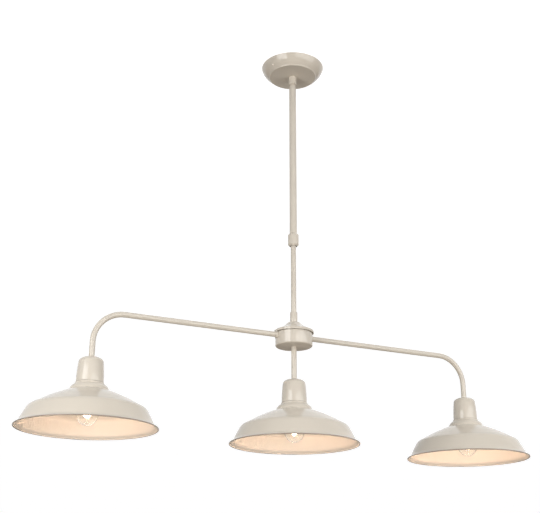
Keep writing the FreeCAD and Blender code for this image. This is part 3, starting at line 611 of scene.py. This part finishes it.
class PENDANT_OT_stem(bpy.types.Operator):
    """Top coupler, shouldered plug, two stem tubes and the locking collar"""
    bl_idname = "pendant.stem"
    bl_label = "Add stem"

    def execute(self, context):
        steps = 2 * context.scene.pendant_sizes.tube_steps

        bottom, top, radius = span("top_coupler")
        coupler = rounded(radius, bottom, top, COUPLER_EDGES, COUPLER_BORE_RADIUS * MM)
        painted_piece("coupler_skin", coupler, CEILING, "top_coupler", steps)

        shoulder_foot, stem_radius = high("upper_stem").z + PLUG_GAP * MM, high("upper_stem").x
        neck_foot = bottom - PLUG_NECK_LENGTH * MM
        plug = rounded(stem_radius - PLUG_INSET * MM, shoulder_foot, neck_foot, PLUG_EDGES,
                       PLUG_BORE_RADIUS * MM)
        neck = rounded(PLUG_NECK_RADIUS * MM, neck_foot - PLUG_NECK_OVERLAP * MM, bottom, FINE_EDGES,
                       PLUG_BORE_RADIUS * MM)
        mesh = bmesh.new()
        spin_outline(mesh, plug, steps)
        spin_outline(mesh, neck, steps)
        add_piece("plug_skin", mesh, CEILING, ["stone gloss paint"], ["stem_top_plug"])

        for node, body in (("upper_stem", CEILING), ("lower_stem", LOWER)):
            bottom, top, radius = span(node)
            tube = rounded(radius, bottom, top, STEM_EDGES, radius - TUBE_WALL * MM)
            painted_piece(node + "_skin", tube, body, node, steps)

        bottom, top, radius = (v / MM for v in span("height_collar"))
        mouth, corner, bore = COLLAR_MOUTH_RADIUS, COLLAR_CORNER, stem_radius / MM + COLLAR_CLEAR
        corner_bow = COLLAR_CORNER_BOW * corner
        collar = outline((mouth, bottom + COLLAR_MOUTH_EDGE),
                         (mouth + COLLAR_MOUTH_EDGE, bottom, COLLAR_MOUTH_EDGE_BOW),
                         (radius - corner, bottom + COLLAR_CHAMFER - corner),
                         (radius, bottom + COLLAR_CHAMFER + corner, corner_bow),
                         (radius, top - COLLAR_CHAMFER - corner),
                         (radius - corner, top - COLLAR_CHAMFER + corner, corner_bow),
                         (stem_radius / MM + COLLAR_LIP, top), (bore, top),
                         (bore, bottom + COLLAR_SEAT), (mouth, bottom + COLLAR_BORE_START),
                         (mouth, bottom + COLLAR_MOUTH_EDGE))
        painted_piece("collar_skin", in_metres(collar), COLLAR, "height_collar", steps)
        return {"FINISHED"}


# ------------------------------------------------------------------ hub
class PENDANT_OT_hub(bpy.types.Operator):
    """Hub drum, its coned lid with an overhanging lip, and the hub coupler"""
    bl_idname = "pendant.hub"
    bl_label = "Add hub"

    def execute(self, context):
        sizes = context.scene.pendant_sizes
        wall = sizes.cap_wall / MM
        top = high("hub_lid").z - HUB_DROP * MM
        lid = outline((NIPPLE_HOLE_RADIUS, 0.0), (LID_TOP_RADIUS, 0.0),
                      (LID_SHOULDER_RADIUS, -LID_SHOULDER_DROP, LID_SHOULDER_BOW),
                      (LID_CONE_RADIUS, -LID_CONE_DROP), (LID_SLOPE_RADIUS, -LID_SLOPE_DROP),
                      (LID_RADIUS, -LID_LIP_DROP, LID_LIP_BOW), (LID_RADIUS, -LID_DEPTH))
        painted_piece("lid_skin", in_metres(sheet_points(lid, wall)), LOWER, "hub_lid",
                      sizes.turn_steps, (0, 0, top))

        floor, rim, radius = span("hub_drum")
        lip = (top - floor) / MM - LID_DEPTH
        floor, rim = floor - DRUM_FLOOR_DROP * MM, rim - DRUM_RIM_DROP * MM
        radius = radius / MM - DRUM_INSET
        drum = outline((radius - DRUM_STEP, (rim - floor) / MM), (radius - DRUM_STEP, lip - DRUM_STEP_TOP),
                       (radius, lip - DRUM_STEP_FOOT), (radius, DRUM_EDGE),
                       (radius - DRUM_EDGE, 0.0, DRUM_EDGE_BOW), (NIPPLE_HOLE_RADIUS, 0.0))
        painted_piece("drum_skin", in_metres(sheet_points(drum, wall)), LOWER, "hub_drum",
                      sizes.turn_steps, (0, 0, floor))

        bottom, top, radius = span("hub_coupler")
        coupler = rounded(radius, bottom - HUB_DROP * MM, top + HUB_COUPLER_RISE * MM, HUB_COUPLER_EDGES,
                          COUPLER_BORE_RADIUS * MM)
        painted_piece("hub_coupler_skin", coupler, LOWER, "hub_coupler", 2 * sizes.tube_steps)
        return {"FINISHED"}


# ------------------------------------------------------------------ arms and drop tube
class PENDANT_OT_arms(bpy.types.Operator):
    """Two bent arms and the drop tube"""
    bl_idname = "pendant.arms"
    bl_label = "Add arms"
    bend_radius: length("Bend radius", "Radius of each arm's bend at the middle of the tube", 68.0 * MM)

    def execute(self, context):
        sizes = context.scene.pendant_sizes
        bottom, top, radius = span("drop_tube")
        start = high("hub_drum").x + ARM_CLEAR * MM
        for side, way in (("left", -1), ("right", 1)):
            node = "arm_" + side
            level = high(node).z - radius
            reach = max(abs(low(node).x), abs(high(node).x)) - radius
            straight = reach - self.bend_radius
            bend = (Vector((way * straight, 0, level - self.bend_radius)), Vector((0, way, 0)), math.pi / 2)
            mesh = bmesh.new()
            tube_run(mesh, radius, Vector((way * start, 0, level)), Vector((way, 0, 0)),
                     [straight - start, bend, level - self.bend_radius - low(node).z], sizes.tube_steps)
            bmesh.ops.holes_fill(mesh, edges=[edge for edge in mesh.edges if edge.is_boundary])
            add_piece("arm_skin_" + side, mesh, LOWER, ["stone gloss paint"], [node])
        tube = rounded(radius, bottom, top, FINE_EDGES, radius - TUBE_WALL * MM)
        painted_piece("drop_tube_skin", tube, LOWER, "drop_tube", 2 * sizes.tube_steps)
        return {"FINISHED"}


# ------------------------------------------------------------------ lamps and lampholders
class PENDANT_OT_lamps(bpy.types.Operator):
    """Three clear golf-ball lamps with the light of their filaments"""
    bl_idname = "pendant.lamps"
    bl_label = "Add lamps"

    def execute(self, context):
        sizes = context.scene.pendant_sizes
        shoulder = LAMP_CENTRE + math.sqrt(LAMP_RADIUS ** 2 - LAMP_SHOULDER_RADIUS ** 2)
        outer = outline((LAMP_NECK_RADIUS, LAMP_NECK_TOP), (LAMP_NECK_RADIUS, shoulder + LAMP_FLARE_RISE),
                        (LAMP_SHOULDER_RADIUS, shoulder, LAMP_FLARE_BOW),
                        (LAMP_RADIUS, LAMP_CENTRE, LAMP_GLOBE_BOW),
                        (0.0, LAMP_CENTRE - LAMP_RADIUS, LAMP_RADIUS * QUARTER_BOW))
        points = in_metres(sheet_points(outer, sizes.glass_wall / MM))
        for side in SIDES:
            axis = lamp_axis(side)
            mesh = bmesh.new()
            spin_outline(mesh, points, 2 * sizes.tube_steps)
            move(mesh, axis)
            glass = add_piece("lamp_skin_" + side, mesh, LOWER, ["lamp glass"],
                              ["lamp_glass_" + side])
            glass.visible_shadow = False
            light = bpy.data.lights.new("lamp_light_" + side, "POINT")
            light.energy = context.scene.pendant_stage.lamp_power * LAMP_SHARES[side]
            light.color = tuple(context.scene.pendant_colours.lamp_light)
            light.shadow_soft_size = FILAMENT_GLOW_RADIUS * MM
            lamp = bpy.data.objects.new("lamp_light_" + side, light)
            context.scene.collection.objects.link(lamp)
            lamp.parent = glass
            lamp.location = axis + Vector((0, 0, FILAMENT_HEIGHT * MM))
        return {"FINISHED"}


NODE_FINISHES = {
    "zinc-plated steel": ("ceiling_bracket", "top_washer", "top_nipple", "guide_clips", "hub_centre_rod",
                          "cap_nipples"),
    "turned brass": ("top_locknut", "hub_locknuts", "arm_locknuts", "cap_locknuts"),
    "nickel plate": ("canopy_side_screws", *("lamp_cap_" + side for side in SIDES)),
    "natural nylon": ("cord_grip", "supply_terminal_block", "guide_bush", "hub_terminal_block"),
    "black nylon": ("clamp_collet",),
    "flex sheath": ("upper_supply_flex", "lower_supply_flex", "lamp_leads", "canopy_cores"),
    "stone gloss paint": ("arm_ferrules",),
    "phenolic resin": tuple(part + side for part in ("lampholder_", "shade_ring_") for side in SIDES),
    "hot tungsten": tuple("filament_" + side for side in SIDES),
    "lamp glass": tuple("lamp_mount_" + side for side in SIDES),
}


class PENDANT_OT_fittings(bpy.types.Operator):
    """Finishes of the hidden fittings that keep their frame shapes"""
    bl_idname = "pendant.fittings"
    bl_label = "Finish fittings"

    def execute(self, context):
        for finish, nodes in NODE_FINISHES.items():
            for node in nodes:
                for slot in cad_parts[node].material_slots:
                    slot.link = "OBJECT"
                    slot.material = material(finish)
        for side in SIDES:
            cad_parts["filament_" + side].visible_shadow = False
            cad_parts["lamp_mount_" + side].visible_shadow = False
        return {"FINISHED"}


# ------------------------------------------------------------------ stage, in metres
CEILING_LEVEL = 0.0006          # just above the bracket's face
FLOOR_LEVEL = -2.3
ROOM_REACH = 20.0               # half the width of ceiling and floor
FLOOR_WHITE = 0.95              # how bright the floor shows to the camera
SOFTBOX_GAP = 0.05              # between an upright softbox and the ceiling
# Upright softboxes: azimuth in degrees, distance, width and height, share of their power.
SOFTBOXES = {"left_softbox": (-64.5, 2.3, (1.45, 1.7), 1.0),
             "right_softbox": (22.0, 2.5, (3.8, 1.7), 0.55)}
OVERHEAD_PLACE = (0.9, -0.6, 1.2)
OVERHEAD_SIZE = (2.6, 1.8)
OVERHEAD_SHARE = 0.5
MIRRORED_FRONT = 0.3            # level of the room in reflections, in front of the pendant
MIRRORED_BEHIND = 1.0
MIRRORED_FADE = (-0.2, 0.4)     # where it fades from one to the other, front to back
SENSOR_WIDTH = 36.0


def room_surface(name, base, mirrored_as, level):
    """Matt surface that shows as white to the camera, at the level given, and in its own tone in
    reflections. It keeps shadows, and from behind it is clear."""
    finish, tree = start_material(name)
    path = add_node(tree, "ShaderNodeLightPath")
    seen = add_node(tree, "ShaderNodeMath", {0: path.outputs["Is Camera Ray"],
                                             1: path.outputs["Is Transmission Ray"]}, operation="MAXIMUM")
    strength = add_node(tree, "ShaderNodeMath", {0: seen.outputs[0], 1: level}, operation="MULTIPLY")
    matt = add_node(tree, "ShaderNodeBsdfDiffuse", {"Color": (*base, 1)})
    light = add_node(tree, "ShaderNodeEmission", {"Color": (1, 1, 1, 1), "Strength": strength.outputs[0]})
    mirrored = add_node(tree, "ShaderNodeEmission", {"Color": (*mirrored_as, 1),
                                                     "Strength": path.outputs["Is Glossy Ray"]})
    shader = add_node(tree, "ShaderNodeAddShader", {0: matt.outputs[0], 1: light.outputs[0]})
    shader = add_node(tree, "ShaderNodeAddShader", {0: shader.outputs[0], 1: mirrored.outputs[0]})
    clear = add_node(tree, "ShaderNodeBsdfTransparent")
    side = add_node(tree, "ShaderNodeNewGeometry")
    shader = add_node(tree, "ShaderNodeMixShader", {0: side.outputs["Backfacing"], 1: shader.outputs[0],
                                                    2: clear.outputs[0]})
    end_material(tree, shader.outputs[0])
    return finish


def room_plane(name, level, finish, face_down):
    """Ceiling or floor. The ceiling casts no shadow, so that the overhead softbox reaches the pendant."""
    mesh = bmesh.new()
    bmesh.ops.create_grid(mesh, x_segments=1, y_segments=1, size=ROOM_REACH)
    if face_down:
        bmesh.ops.reverse_faces(mesh, faces=mesh.faces)
    move(mesh, Vector((0, 0, level)))
    plane = mesh_object(name, mesh)
    plane.data.materials.append(finish)
    plane.visible_shadow = not face_down


def softbox(name, place, rotation, size, radiance):
    """Rectangular soft light of a given radiance, which the camera doesn't see."""
    light = bpy.data.lights.new(name, "AREA")
    light.shape = "RECTANGLE"
    light.size, light.size_y = size
    light.energy = radiance * math.pi * size[0] * size[1]
    box = bpy.data.objects.new(name, light)
    box.location = place
    box.rotation_euler = rotation
    box.visible_camera = False
    bpy.context.scene.collection.objects.link(box)


def room_light(ambient):
    """World: white to the camera and through glass, darker in front in reflections, else ambient."""
    world = bpy.data.worlds.new("room light")
    world.use_nodes = True
    tree = world.node_tree
    tree.nodes.clear()
    path = add_node(tree, "ShaderNodeLightPath")
    way = add_node(tree, "ShaderNodeTexCoord")
    way = add_node(tree, "ShaderNodeSeparateXYZ", {0: way.outputs["Generated"]})
    room = add_node(tree, "ShaderNodeMapRange", {
        "Value": way.outputs["Y"], "From Min": MIRRORED_FADE[0], "From Max": MIRRORED_FADE[1],
        "To Min": MIRRORED_FRONT, "To Max": MIRRORED_BEHIND})
    mirrored = add_node(tree, "ShaderNodeMath", {0: path.outputs["Is Glossy Ray"],
                                                 1: room.outputs["Result"]}, operation="MULTIPLY")
    seen = add_node(tree, "ShaderNodeMath", {0: path.outputs["Is Camera Ray"], 1: mirrored.outputs[0]},
                    operation="MAXIMUM")
    seen = add_node(tree, "ShaderNodeMath", {0: seen.outputs[0], 1: path.outputs["Is Transmission Ray"]},
                    operation="MAXIMUM")
    level = add_node(tree, "ShaderNodeMapRange",
                     {"Value": seen.outputs[0], "To Min": ambient, "To Max": 1.0})
    sky = add_node(tree, "ShaderNodeBackground", {"Color": (1, 1, 1, 1),
                                                  "Strength": level.outputs["Result"]})
    add_node(tree, "ShaderNodeOutputWorld", {"Surface": sky.outputs[0]})
    return world


def stage_camera(stage):
    """Camera on a sphere round the point it aims at, rolled about its line of sight."""
    turn, rise, roll = (math.radians(v) for v in (stage.azimuth, stage.elevation, stage.roll))
    back = Vector((math.sin(turn) * math.cos(rise), -math.cos(turn) * math.cos(rise), math.sin(rise)))
    arm_level = high("arm_left").z - high("drop_tube").x
    aim = Vector((stage.aim_across, 0.0, arm_level + stage.aim_up))
    camera = bpy.data.objects.new("camera", bpy.data.cameras.new("camera"))
    camera.data.sensor_width = SENSOR_WIDTH
    camera.data.lens = stage.lens
    camera.data.clip_start, camera.data.clip_end = 0.05, 100.0
    camera.rotation_mode = "QUATERNION"
    across = (-back).cross(Z).normalized()
    up = across.cross(-back)
    right = across * math.cos(roll) + up * math.sin(roll)
    up = up * math.cos(roll) - across * math.sin(roll)
    camera.rotation_quaternion = Matrix((right, up, back)).transposed().to_quaternion()
    camera.location = aim + back * stage.distance
    return camera


class PENDANT_OT_stage(bpy.types.Operator):
    """Ceiling, floor, softboxes, room light and camera"""
    bl_idname = "pendant.stage"
    bl_label = "Set the stage"

    def execute(self, context):
        scene = context.scene
        scene.view_settings.view_transform = "Standard"
        stage = scene.pendant_stage
        ceiling = room_surface("ceiling white", linear("81807E"), linear("FFFFFF"), 1.0)
        room_plane("stage_ceiling", CEILING_LEVEL, ceiling, True)
        floor = room_surface("floor white", linear("B3AAA0"), linear("B5AA9E"), FLOOR_WHITE)
        room_plane("stage_floor", FLOOR_LEVEL, floor, False)

        softbox("overhead_softbox", OVERHEAD_PLACE, (0, 0, 0), OVERHEAD_SIZE,
                OVERHEAD_SHARE * stage.softbox_power)
        for name, (azimuth, distance, size, share) in SOFTBOXES.items():
            turn = math.radians(azimuth)
            place = (math.sin(turn) * distance, -math.cos(turn) * distance, -SOFTBOX_GAP - size[1] / 2)
            softbox(name, place, (math.pi / 2, 0, turn), size, share * stage.softbox_power)

        scene.world = room_light(stage.ambient)
        camera = stage_camera(stage)
        scene.collection.objects.link(camera)
        scene.camera = camera
        return {"FINISHED"}


STEPS = (PENDANT_OT_shades, PENDANT_OT_shade_caps, PENDANT_OT_canopy, PENDANT_OT_stem, PENDANT_OT_hub,
         PENDANT_OT_arms, PENDANT_OT_lamps, PENDANT_OT_fittings, PENDANT_OT_stage)


class PENDANT_PT_panel(bpy.types.Panel):
    """Lists the pendant's steps and settings"""
    bl_idname = "PENDANT_PT_panel"
    bl_label = "Island pendant"
    bl_space_type = "VIEW_3D"
    bl_region_type = "UI"
    bl_category = "Pendant"

    def draw(self, context):
        for step in STEPS:
            self.layout.operator(step.bl_idname)
        for group in ("pendant_sizes", "pendant_colours", "pendant_stage"):
            settings = getattr(context.scene, group)
            for name in settings.__annotations__:
                self.layout.prop(settings, name)


GROUPS = {"pendant_sizes": PendantSizes, "pendant_colours": PendantColours, "pendant_stage": PendantStage}


def register():
    for group, kind in GROUPS.items():
        bpy.utils.register_class(kind)
        setattr(bpy.types.Scene, group, PointerProperty(type=kind))
    for kind in (*STEPS, PENDANT_PT_panel):
        bpy.utils.register_class(kind)


def unregister():
    for kind in (PENDANT_PT_panel, *reversed(STEPS)):
        bpy.utils.unregister_class(kind)
    for group, kind in GROUPS.items():
        delattr(bpy.types.Scene, group)
        bpy.utils.unregister_class(kind)


def main():
    register()
    bpy.ops.pendant.shades()
    bpy.ops.pendant.shade_caps()
    bpy.ops.pendant.canopy()
    bpy.ops.pendant.stem()
    bpy.ops.pendant.hub()
    bpy.ops.pendant.arms()
    bpy.ops.pendant.lamps()
    bpy.ops.pendant.fittings()
    bpy.ops.pendant.stage()


if __name__ == "__main__":
    main()
